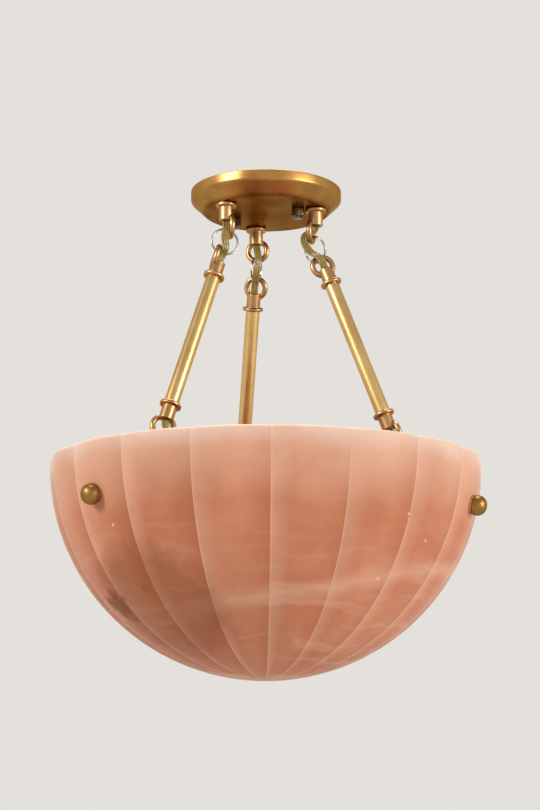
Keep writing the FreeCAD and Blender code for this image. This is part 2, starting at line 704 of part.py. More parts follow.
def cord(label, azimuth, route):
    """Round cord along straight runs joined by tangent arcs, from points of (outward, sideways, up)."""
    outward = polar(1, azimuth)
    points = [outward * out + UP.cross(outward) * side + UP * rise for out, side, rise in route]
    edges = []
    here = points[0]
    tightest = 1e9
    for before, corner, after in zip(points, points[1:], points[2:]):
        back = (before - corner).normalize()
        fore = (after - corner).normalize()
        half = back.getAngle(fore) / 2
        run = 0.45 * min(before.distanceToPoint(corner), after.distanceToPoint(corner))
        radius = run * math.tan(half)
        tightest = min(tightest, radius)
        middle = corner + (back + fore).normalize() * (radius / math.sin(half) - radius)
        edges.append(Part.LineSegment(here, corner + back * run).toShape())
        edges.append(Part.Arc(corner + back * run, middle, corner + fore * run).toShape())
        here = corner + fore * run
    edges.append(Part.LineSegment(here, points[-1]).toShape())
    path = Part.Wire(edges)
    start = (points[1] - points[0]).normalize()
    section = Part.Wire([Part.makeCircle(size("cord_radius"), points[0], start)])
    tube = path.makePipeShell([section], True, False)
    share = tube.Volume / (math.pi * size("cord_radius") ** 2 * path.Length)
    print(label, "length %.1f tightest radius %.1f volume share %.4f" % (path.Length, tightest, share))
    thing = doc.addObject("Part::Feature", label)
    thing.Shape = tube
    return node(thing, label)


for name, arm in ARMS.items():
    cord("upper_cord_" + name, arm["azimuth"], UPPER_ROUTES[name])
    cord("lower_cord_" + name, arm["azimuth"], LOWER_ROUTES[name])

doc.recompute()
faults = [thing.Label for thing in doc.Objects if "Invalid" in thing.State or "Error" in thing.State]
faults += [thing.Label for thing in nodes if thing.Shape.isNull() or not thing.Shape.isValid()]
if faults:
    raise SystemExit("faulty: " + ", ".join(faults))
os.makedirs("parts", exist_ok=True)
for thing in nodes:
    thing.Shape.exportStep("parts/%s.step" % thing.Label)
print(len(nodes), "nodes written")
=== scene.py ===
"""Looks of a semi-flush ceiling light: an alabaster bowl hung from a brass canopy on ring-linked rods."""

import json
import math

import bmesh
import bpy
import numpy as np
from bpy.props import FloatProperty, FloatVectorProperty, IntProperty, PointerProperty
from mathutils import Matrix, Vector


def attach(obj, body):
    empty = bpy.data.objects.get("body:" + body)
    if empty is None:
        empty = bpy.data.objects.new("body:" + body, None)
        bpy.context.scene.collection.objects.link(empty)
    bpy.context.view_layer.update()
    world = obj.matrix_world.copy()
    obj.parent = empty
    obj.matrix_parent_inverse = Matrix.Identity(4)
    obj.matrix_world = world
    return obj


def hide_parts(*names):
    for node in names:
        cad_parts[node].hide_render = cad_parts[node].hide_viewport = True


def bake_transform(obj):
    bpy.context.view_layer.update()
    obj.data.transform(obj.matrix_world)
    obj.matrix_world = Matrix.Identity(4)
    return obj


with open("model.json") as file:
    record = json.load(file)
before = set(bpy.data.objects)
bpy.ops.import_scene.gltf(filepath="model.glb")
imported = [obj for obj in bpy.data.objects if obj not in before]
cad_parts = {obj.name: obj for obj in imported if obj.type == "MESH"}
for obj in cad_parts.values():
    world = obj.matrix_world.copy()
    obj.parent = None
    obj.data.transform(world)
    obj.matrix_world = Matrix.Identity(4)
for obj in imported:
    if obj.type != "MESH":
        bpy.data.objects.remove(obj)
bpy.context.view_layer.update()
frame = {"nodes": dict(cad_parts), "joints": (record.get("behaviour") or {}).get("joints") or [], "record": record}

bl_info = {
    "name": "Ceiling bowl light",
    "version": (1, 0, 0),
    "blender": (4, 5, 0),
    "location": "View3D > Sidebar > Bowl light",
    "description": "Builds the finishes of a semi-flush alabaster bowl light round its construction frame",
    "category": "Object",
}

MM = 0.001
UP = np.array([0.0, 0.0, 1.0])
SHARP = math.radians(38)

# Azimuths of the three arms and of the cap nuts' studs, and the number of knurls round a cap nut.
ARMS = {"rear": 90, "left": 210, "right": 330}
STUD_AZIMUTH = -40
KNURLS = 15

# The photograph's view: its height and focal length in pixels, and the camera's place, turn and upward tilt.
PHOTO_HEIGHT = 810
FOCAL_PIXELS = 1887.6
SENSOR = 36
CAMERA_SPOT = (-0.27694, -1.40192, -0.45764)
CAMERA_TURN = 11.3
CAMERA_TILT = 0.198

# Lamps as (name, place, width, watts), all aimed at one point, over a floor of this height and radius.
LAMPS = (
    ("key", (-2.2, -0.9, 0.8), 0.8, 41),
    ("fill", (1.9, -1.7, 0.1), 1.0, 41),
    ("top", (0.1, 0.3, 1.7), 1.0, 33),
)
LAMP_AIM = (0, 0, -0.22)
FLOOR_HEIGHT = -1.1
FLOOR_RADIUS = 6.0

# Cord routes of each arm as (outward, sideways, up) in metres, the points of the part's source. Three points
# of the rear upper cord are moved by less than 10 mm, so that it hangs straight in front of its rings. The
# upper cords start alike in the canopy's loops, and the lower ones end alike in the lamp cluster.
UPPER_START = [(0.041, 0, -0.022), (0.041, 0, -0.0328)]
UPPER_ROUTES = {
    "rear": [*UPPER_START, (0.036, -0.0012, -0.043), (0.0362, 0.0002, -0.0505), (0.0388, 0.0004, -0.0582),
             (0.04845, 0, -0.0662), (0.0533, 0, -0.0788)],
    "left": [*UPPER_START, (0.0431, 0.0036, -0.0368), (0.046, 0.004, -0.0461), (0.0459, 0.0064, -0.0561),
             (0.04715, 0, -0.0629), (0.052, 0, -0.0754)],
    "right": [*UPPER_START, (0.0396, -0.0011, -0.0355), (0.0309, -0.005, -0.0409), (0.0366, -0.002, -0.053),
              (0.0449, -0.0033, -0.057), (0.04745, 0, -0.06365), (0.0523, 0, -0.0762)],
}
LOWER_END = [(0.084, 0.004, -0.2375), (0.034, 0.009, -0.236), (0.008, 0.01386, -0.236),
             (0.008, 0.01386, -0.249)]
LOWER_ROUTES = {
    "rear": [(0.0959, 0, -0.1892), (0.1003, 0, -0.2006), (0.1001, 0.0034, -0.2053), (0.0966, 0.0056, -0.2226),
             *LOWER_END],
    "left": [(0.0946, 0, -0.1858), (0.099, 0, -0.1972), (0.0994, 0.0031, -0.2023), (0.0977, 0.0045, -0.2233),
             *LOWER_END],
    "right": [(0.0949, 0, -0.1866), (0.0993, 0, -0.198), (0.0995, 0.0018, -0.2039), (0.097, 0.0041, -0.223),
              *LOWER_END],
}


def linear(code):
    """Linear colour of an sRGB hex code."""
    shares = [int(code[i:i + 2], 16) / 255 for i in (0, 2, 4)]
    return tuple(c / 12.92 if c <= 0.04045 else ((c + 0.055) / 1.055) ** 2.4 for c in shares)


def length(name, default, words):
    """Property for one size in metres."""
    return FloatProperty(name=name, description=words, default=default, unit="LENGTH", precision=5)


def colour(name, code, words):
    """Property for one colour given as an sRGB hex code."""
    return FloatVectorProperty(name=name, description=words, default=linear(code), subtype="COLOR", size=3)


class LightSizes(bpy.types.PropertyGroup):
    """Sizes of the pieces, in metres, the same as those of the solids."""

    canopy_radius: length("Canopy radius", 0.0592, "Half the width of the canopy pan")
    canopy_height: length("Canopy height", 0.0175, "Depth of the canopy pan below the ceiling")
    canopy_band: length("Canopy band", 0.0075, "Height of the canopy's upright edge")
    canopy_flat: length("Canopy flat", 0.0485, "Radius of the canopy's flat underside")
    canopy_wall: length("Canopy wall", 0.0012, "Sheet thickness of the canopy")
    canopy_hem: length("Canopy hem", 0.0026, "Width of the rolled rim at the ceiling")
    neck_radius: length("Neck radius", 0.0055, "Outside radius of a loop's neck")
    neck_height: length("Neck height", 0.014, "Length of a loop's neck from its seat")
    flange_radius: length("Flange radius", 0.0082, "Radius of a loop's flange")
    flange_height: length("Flange height", 0.003, "Thickness of a loop's flange")
    bore_radius: length("Bore radius", 0.0034, "Wiring hole through a loop")
    stem_radius: length("Stem radius", 0.0047, "Threaded stem of a loop")
    stem_length: length("Stem length", 0.009, "Length of a loop's stem")
    thread_pitch: length("Thread pitch", 0.00094, "Spacing of the thread on stems and studs")
    ring_wire: length("Ring wire", 0.0042, "Thickness of a loop's ring")
    ring_inside: length("Ring inside", 0.0116, "Inside width of a loop's ring")
    ring_height: length("Ring height", 0.0182, "Height of the ring's centre above the seat")
    ring_offset: length("Ring offset", 0.0036, "Distance of the ring from the neck's axis")
    link_inside: length("Link inside", 0.0188, "Inside width of a wire link")
    link_wire: length("Link wire", 0.0016, "Thickness of a wire link")
    rod_radius: length("Rod radius", 0.00555, "Outside radius of a rod")
    rod_wall: length("Rod wall", 0.0008, "Wall of a rod")
    bowl_radius: length("Bowl radius", 0.1651, "Half the width of the bowl over its lobes")
    bowl_depth: length("Bowl depth", 0.1652, "Depth of the bowl below its rim")
    bowl_drop: length("Bowl drop", 0.2168, "Distance from the ceiling to the bowl's rim")
    bowl_inside: length("Bowl inside", 0.152, "Radius of the bowl's hollow")
    flute_depth: length("Flute depth", 0.0027, "Depth of the valleys at the rim")
    flute_count: IntProperty(name="Flutes", description="Number of lobes round the bowl", default=18)
    knob_radius: length("Knob radius", 0.0076, "Radius of the knob screws")
    knob_height: length("Knob height", 0.010, "Height of the knob screws")
    nut_radius: length("Cap nut radius", 0.005, "Radius of the knurled cap nuts")
    nut_height: length("Cap nut height", 0.008, "Height of the knurled cap nuts")
    stud_circle: length("Stud circle", 0.0285, "Distance of the cap nuts from the middle")
    bulb_cap: length("Lamp cap", 0.0131, "Radius of a lamp's screw cap")
    bulb_cap_length: length("Lamp cap length", 0.023, "Length of a lamp's screw cap")
    bulb_radius: length("Lamp radius", 0.024, "Radius of a lamp's glass")
    bulb_length: length("Lamp length", 0.060, "Length of a lamp's glass")
    bulb_wall: length("Lamp wall", 0.0012, "Wall of a lamp's glass")
    cord_width: length("Cord width", 0.0058, "Width of the flat three-core cord")
    cord_core: length("Cord core", 0.0010, "Radius of one core of the cord")


class LightColours(bpy.types.PropertyGroup):
    """Colours of the finishes, written as sRGB codes in the defaults."""

    brass: colour("Brass", "E4C182", "Pale brass of the drawn rods")
    brass_deep: colour("Deep brass", "C49452", "Warmer brass of the canopy and of aged lacquer on the rods")
    brass_rose: colour("Rose brass", "CBA070", "Redder brass of the cast and turned fittings")
    # Aged lacquer, and also the painted shade under the canopy.
    brass_aged_and_shade: colour("Brown brass", "794A22", "Brown tone of aged lacquer")
    brass_olive: colour("Olive brass", "A8834A", "Duller brass of the knobs")
    brass_edge: colour("Brass edge", "E1CCB3", "Warm tone of brass seen at a low angle")
    steel: colour("Steel", "B8B2A8", "Drawn steel wire of the links")
    nickel: colour("Dark nickel", "7D6E58", "Knurled cap nuts")
    zinc: colour("Zinc", "B4B6B4", "Zinc plated bar, studs and nuts")
    stone: colour("Alabaster", "DB9472", "Body colour of the alabaster")
    # Clouds in the stone, and also the painted shade on the lobes' right flanks.
    deep_stone_and_painted_shade: colour("Deep alabaster", "B4633F", "Darker clouds in the alabaster")
    # Veins and streaks, and also painted light on the lobes' left flanks and in a band under the rim.
    pale_stone_and_painted_light: colour("Pale alabaster", "F2C6A9", "Pale veins and thin edges of the alabaster")
    # Flecks, and also a painted highlight along the top of the rim.
    fleck_and_painted_highlight: colour("Fleck", "F6E2D2", "White flecks in the alabaster")
    # A brownish zone round the stain that is partly painted shade.
    brown_zone_and_painted_shade: colour("Brown shade", "96542F", "Brownish zone round the stain")
    stone_stain: colour("Stain", "7C400C", "Brown inclusion low on the bowl")
    enamel: colour("Enamel", "E6E2D8", "White enamel of the hidden frame")
    porcelain: colour("Porcelain", "EFEBE2", "Glazed lamp sockets")
    jacket: colour("Cord jacket", "B79F52", "Clear gold plastic of the cord")
    jacket_deep: colour("Cord strands", "765F1F", "Stranded cores seen through the cord's jacket")
    lamp_glass: colour("Lamp glass", "E2DED4", "Soft white glass of the lamps")
    rubber: colour("Rubber", "26241F", "Pads, washers and grommets")
    ground: colour("Ground screw", "2F6B3C", "Green paint of the ground screw")
    floor: colour("Floor", "E4E1DC", "Plain pale floor and backdrop")
    studio: colour("Studio", "B9BBBE", "Grey surroundings that light the piece")
    ceiling: colour("Ceiling", "8A8886", "Backdrop high above and far below")


def setting(name):
    """Value of one size of the light."""
    return getattr(bpy.context.scene.light_sizes, name)


def tint(name):
    """Colour of one finish with full alpha."""
    return (*getattr(bpy.context.scene.light_colours, name), 1.0)


def unit(vector):
    """Vector of length one along another, row by row for an array of them."""
    return vector / np.linalg.norm(vector, axis=-1, keepdims=True)


def placed(origin, along, side):
    """4 by 4 matrix whose Z runs along one direction and whose X leans to another."""
    z = unit(np.asarray(along, float))
    x = np.asarray(side, float)
    x = unit(x - z * (x @ z))
    made = np.eye(4)
    made[:3, :3] = np.stack([x, np.cross(z, x), z], axis=1)
    made[:3, 3] = origin
    return made


def polar(radius, azimuth, height=0.0):
    """Point at a radius and an azimuth in degrees round the hanging axis."""
    angle = math.radians(azimuth)
    return np.array([radius * math.cos(angle), radius * math.sin(angle), height])


def full_turn(steps):
    """Angles evenly spaced round a circle."""
    return np.arange(steps) * 2 * np.pi / steps


def ringed(radius, angle, height):
    """Points (r cos a, r sin a, z), with radius, angle and height spread to one grid."""
    return np.stack(np.broadcast_arrays(radius * np.cos(angle), radius * np.sin(angle), height), axis=-1)


def moved(points, place):
    """Points carried by a 4 by 4 matrix."""
    return points @ place[:3, :3].T + place[:3, 3]


def linked(name, data):
    """New object of the scene that shows a mesh, a light or a camera."""
    made = bpy.data.objects.new(name, data)
    bpy.context.scene.collection.objects.link(made)
    return made


def joint(name):
    """Origin and axis of one joint of the frame."""
    found = next(j for j in frame["joints"] if j["name"] == name)
    return np.array(found["pos_m"]), np.array(found["axis"])


def corners_of(name):
    """Distinct vertices of one node of the frame."""
    mesh = frame["nodes"][name].data
    flat = np.zeros(len(mesh.vertices) * 3, np.float32)
    mesh.vertices.foreach_get("co", flat)
    return np.unique(np.round(flat.reshape(-1, 3).astype(float), 7), axis=0)


def thin_way(points):
    """Direction in which a cloud of points is thinnest."""
    return np.linalg.svd(points - points.mean(axis=0))[2][-1]


def outline(corners, thread=None):
    """Profile through (radius, height, rounding) corners, with each rounded corner as an arc of eight steps.

    An arc of radius r starts r / tan(half the corner's angle) from the corner. A thread of (from, to, depth,
    least radius) divides the profile between two heights into eighths of the pitch.
    """
    spots = np.array([c[:2] for c in corners], float)
    radii = np.array([c[2] for c in corners], float)
    back = unit(np.roll(spots, 1, axis=0) - spots)
    fore = unit(np.roll(spots, -1, axis=0) - spots)
    half = np.arccos(np.clip((back * fore).sum(axis=1), -1, 1)) / 2
    rows = []
    for i in range(len(corners)):
        if radii[i] == 0:
            rows.append(spots[i:i + 1])
            continue
        middle = spots[i] + unit(back[i] + fore[i]) * radii[i] / math.sin(half[i])
        start = spots[i] + back[i] * radii[i] / math.tan(half[i]) - middle
        finish = spots[i] + fore[i] * radii[i] / math.tan(half[i]) - middle
        share = np.linspace(0, 1, 9)[:, None]
        rows.append(middle + unit(start * (1 - share) + finish * share) * radii[i])
    line = np.concatenate(rows)
    if thread is None:
        return line
    closed = np.vstack([line, line[:1]])
    run = np.concatenate([[0], np.cumsum(np.linalg.norm(np.diff(closed, axis=0), axis=1))])
    low, high, _, least = thread
    marks = np.arange(0, run[-1], setting("thread_pitch") / 8)
    reach, rise = (np.interp(marks, run, closed[:, k]) for k in (0, 1))
    marks = np.unique(np.concatenate([run, marks[(rise > low) & (rise < high) & (reach > least)]]))
    return np.stack([np.interp(marks, run, closed[:, k]) for k in (0, 1)], axis=1)[:-1]


def surface(name, points, close_rows=False, marks=None):
    """Mesh over a grid of points whose rows are closed rings, welded at poles and seams.

    Its map holds real lengths round and along it. Marks, a dictionary of names and values, are kept on the
    points as attributes for the material.
    """
    rows, columns = points.shape[:2]
    i, j = np.meshgrid(np.arange(rows if close_rows else rows - 1), np.arange(columns), indexing="ij")
    row = np.stack([i, i, i + 1, i + 1], axis=-1)
    column = np.stack([j, j + 1, j + 1, j], axis=-1)
    faces = ((row % rows) * columns + column % columns).reshape(-1, 4)
    round_steps = np.linalg.norm(np.roll(points, -1, axis=1) - points, axis=2).max(axis=0)
    along_steps = np.linalg.norm(np.roll(points, -1, axis=0) - points, axis=2).max(axis=1)
    around = np.concatenate([[0], np.cumsum(round_steps)])
    along = np.concatenate([[0], np.cumsum(along_steps)])
    mesh = bpy.data.meshes.new(name)
    mesh.from_pydata(points.reshape(-1, 3).tolist(), [], faces.tolist())
    chart = mesh.uv_layers.new(name="UVMap")
    chart.data.foreach_set("uv", np.stack([around[column], along[row]], axis=-1).ravel())
    for key, values in (marks or {}).items():
        noted = mesh.attributes.new(key, "FLOAT", "POINT")
        noted.data.foreach_set("value", values.ravel())
    work = bmesh.new()
    work.from_mesh(mesh)
    bmesh.ops.remove_doubles(work, verts=work.verts, dist=1e-7)
    bmesh.ops.recalc_face_normals(work, faces=work.faces)
    work.to_mesh(mesh)
    work.free()
    return mesh


def turned(name, corners, place, segments, thread=None):
    """Surface turned about an axis: (r cos a, r sin a, z) for the profile's r and z and every angle a.

    With a thread of (from, to, depth, least radius), r gains depth * cos(2 pi (z / pitch - a / turn)) between
    two heights.
    """
    profile = outline(corners, thread)
    angle = full_turn(segments)
    radius = profile[:, :1]
    height = profile[:, 1:]
    if thread:
        low, high, depth, least = thread
        cut = (height > low) & (height < high) & (radius > least)
        radius = radius + cut * depth * np.cos(2 * np.pi * height / setting("thread_pitch") - angle)
    on_axis = corners[0][0] == 0 and corners[-1][0] == 0
    return surface(name, moved(ringed(radius, angle, height), place), close_rows=not on_axis)


def carried(name, path, section, width_way):
    """Surface of a section carried along a path: path + a x + b y for each section point (x, y).

    a is the width direction made square to the path, b is square to both. The ends are closed.
    """
    ahead = unit(np.gradient(path, axis=0))
    way = np.broadcast_to(width_way, path.shape)
    across = unit(way - ahead * (way * ahead).sum(axis=1, keepdims=True))
    over = np.cross(ahead, across)
    grid = path[:, None] + across[:, None] * section[None, :, :1] + over[:, None] * section[None, :, 1:]
    ends = np.repeat(path[[0, -1], None], len(section), axis=1)
    return surface(name, np.concatenate([ends[:1], grid, ends[1:]]))


def circle(radius, steps):
    """Round section."""
    angle = full_turn(steps)
    return radius * np.stack([np.cos(angle), np.sin(angle)], axis=1)


def piece(name, meshes, body, material):
    """One finished object from some meshes, which rides on a body and stands for the node of that name."""
    whole = bpy.data.meshes.new("finished_" + name)
    work = bmesh.new()
    for mesh in meshes:
        work.from_mesh(mesh)
        bpy.data.meshes.remove(mesh)
    work.to_mesh(whole)
    work.free()
    whole.polygons.foreach_set("use_smooth", np.ones(len(whole.polygons), bool))
    whole.set_sharp_from_angle(angle=SHARP)
    whole.materials.append(material)
    made = linked("finished_" + name, whole)
    if body:
        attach(made, body)
    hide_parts(name)
    return made


def fill(tree, node, sockets):
    """Set or link a node's inputs by name or number.

    Numbers stand for a Map Range's value (0), from (1, 2) and to (3, 4), a colour Mix's share (0) and its two
    colours (6, 7), a Background's or Emission's colour (0) and strength (1), and a maths node's terms.
    """
    for key, value in sockets.items():
        if isinstance(value, bpy.types.NodeSocket):
            tree.links.new(value, node.inputs[key])
        else:
            node.inputs[key].default_value = value


def add_node(tree, kind, sockets=None, **settings):
    """Add one shader node, named without its ShaderNode prefix, set its properties and fill its inputs."""
    made = tree.nodes.new("ShaderNode" + kind)
    for key, value in settings.items():
        setattr(made, key, value)
    fill(tree, made, sockets or {})
    return made


def new_material(name):
    """Empty node material with its shader and output, and its object and map coordinates."""
    material = bpy.data.materials.new(name)
    material.use_nodes = True
    tree = material.node_tree
    tree.nodes.clear()
    shader = add_node(tree, "BsdfPrincipled")
    add_node(tree, "OutputMaterial", {"Surface": shader.outputs[0]})
    place = add_node(tree, "TexCoord")
    return material, tree, shader, place.outputs["Object"], place.outputs["UV"]


def satin_brass(name, pale, aged, share, gloss, lines, low=None):
    """Brass, satin polished and lacquered: a warm glow with fine polishing lines, deeper where it aged.

    Share is the least and most of the aged colour, and gloss the least and most roughness. Lines is the
    spacing of the polishing lines round and along the piece: real ones are finer, and these are as coarse as
    shows. Below the height low, painted shade darkens the brass towards the aged colour over 4 mm.
    """
    material, tree, shader, place, chart = new_material(name)
    clouds = add_node(tree, "TexNoise", {"Vector": place, "Scale": 1 / (22 * MM), "Detail": 3.0})
    age = add_node(tree, "MapRange", {0: clouds.outputs[0], 1: 0.35, 2: 0.68, 3: share[0], 4: share[1]})
    amount = age.outputs[0]
    if low is not None:
        # Painted shade: below the height low the colour turns towards the aged one.
        spot = add_node(tree, "SeparateXYZ", {0: place})
        under = add_node(tree, "MapRange", {0: spot.outputs[2], 1: low, 2: low - 4 * MM, 4: 0.85})
        both = add_node(tree, "Math", {0: amount, 1: under.outputs[0]}, operation="ADD", use_clamp=True)
        amount = both.outputs[0]
    base = add_node(tree, "Mix", {0: amount, 6: tint(pale), 7: tint(aged)}, data_type="RGBA")
    ruled = add_node(tree, "Mapping", {"Vector": chart, "Scale": (1 / lines[0], 1 / lines[1], 1)})
    brush = add_node(tree, "TexNoise", {"Vector": ruled.outputs[0], "Scale": 1.0, "Detail": 1.0})
    rough = add_node(tree, "MapRange", {0: brush.outputs[0], 1: 0.3, 2: 0.7, 3: gloss[0], 4: gloss[1]})
    bump = add_node(tree, "Bump", {"Height": brush.outputs[0], "Strength": 0.06, "Distance": 0.04 * MM})
    fill(tree, shader, {
        "Base Color": base.outputs[2],
        "Metallic": 1.0,
        "Roughness": rough.outputs[0],
        "Specular Tint": tint("brass_edge"),
        "Normal": bump.outputs[0],
    })
    return material


def plain_metal(name, shade, gloss, grain):
    """Drawn, plated or pressed metal: one colour with a fine grain that varies its gloss.

    Gloss is the least and most roughness, and grain the size of the uneven patches.
    """
    material, tree, shader, place, _ = new_material(name)
    noise = add_node(tree, "TexNoise", {"Vector": place, "Scale": 1 / grain, "Detail": 5.0})
    darker = (*(c * 0.72 for c in tint(shade)[:3]), 1.0)
    base = add_node(tree, "Mix", {0: noise.outputs[0], 6: tint(shade), 7: darker}, data_type="RGBA")
    rough = add_node(tree, "MapRange", {0: noise.outputs[0], 1: 0.3, 2: 0.7, 3: gloss[0], 4: gloss[1]})
    fill(tree, shader, {"Base Color": base.outputs[2], "Metallic": 1.0, "Roughness": rough.outputs[0]})
    return material


def coated(name, shade, rough, grain, bump_height, coat=0.0):
    """Enamel, glaze, paint or rubber: a coloured body with a faint uneven skin of the grain's size."""
    material, tree, shader, place, _ = new_material(name)
    noise = add_node(tree, "TexNoise", {"Vector": place, "Scale": 1 / grain, "Detail": 3.0})
    darker = (*(c * 0.86 for c in tint(shade)[:3]), 1.0)
    base = add_node(tree, "Mix", {0: noise.outputs[0], 6: tint(shade), 7: darker}, data_type="RGBA")
    bump = add_node(tree, "Bump", {"Height": noise.outputs[0], "Strength": 0.3, "Distance": bump_height})
    fill(tree, shader, {
        "Base Color": base.outputs[2],
        "Roughness": rough,
        "Normal": bump.outputs[0],
        "Coat Weight": coat,
    })
    return material


def clear_jacket():
    """Clear gold plastic moulded over three stranded copper cores: glossy, with the strands' twist under it.

    A wave's bands are 2 pi / (20 scale) apart, and the strands 1.6 mm.
    """
    material, tree, shader, place, chart = new_material("clear_gold_cord_jacket")
    twist = add_node(tree, "Mapping", {"Vector": chart, "Rotation": (0, 0, math.radians(55))})
    scale = 2 * math.pi / (20 * 1.6 * MM)
    strands = add_node(
        tree, "TexWave", {"Vector": twist.outputs[0], "Scale": scale, "Distortion": 0.5, "Detail": 1.0}
    )
    strand = strands.outputs["Fac"]
    cloud = add_node(tree, "TexNoise", {"Vector": place, "Scale": 1 / (9 * MM), "Detail": 2.0})
    deep = add_node(tree, "Math", {0: strand, 1: 0.45, 2: cloud.outputs[0]}, operation="MULTIPLY_ADD")
    share = add_node(tree, "MapRange", {0: deep.outputs[0], 1: 0.35, 2: 1.0, 4: 0.85})
    base = add_node(
        tree, "Mix", {0: share.outputs[0], 6: tint("jacket"), 7: tint("jacket_deep")}, data_type="RGBA"
    )
    bump = add_node(tree, "Bump", {"Height": strand, "Strength": 0.25, "Distance": 0.15 * MM})
    fill(tree, shader, {
        "Base Color": base.outputs[2],
        "Roughness": 0.28,
        "Normal": bump.outputs[0],
        "Coat Weight": 0.4,
    })
    return material


def opal_glass():
    """Lamp glass coated white on the inside: smooth and glossy outside, with a soft milky body."""
    material, tree, shader, place, _ = new_material("soft_white_lamp_glass")
    noise = add_node(tree, "TexNoise", {"Vector": place, "Scale": 1 / (14 * MM), "Detail": 2.0})
    rough = add_node(tree, "MapRange", {0: noise.outputs[0], 3: 0.16, 4: 0.26})
    fill(tree, shader, {
        "Base Color": tint("lamp_glass"),
        "Roughness": rough.outputs[0],
        "IOR": 1.5,
        "Coat Weight": 0.5,
    })
    return material


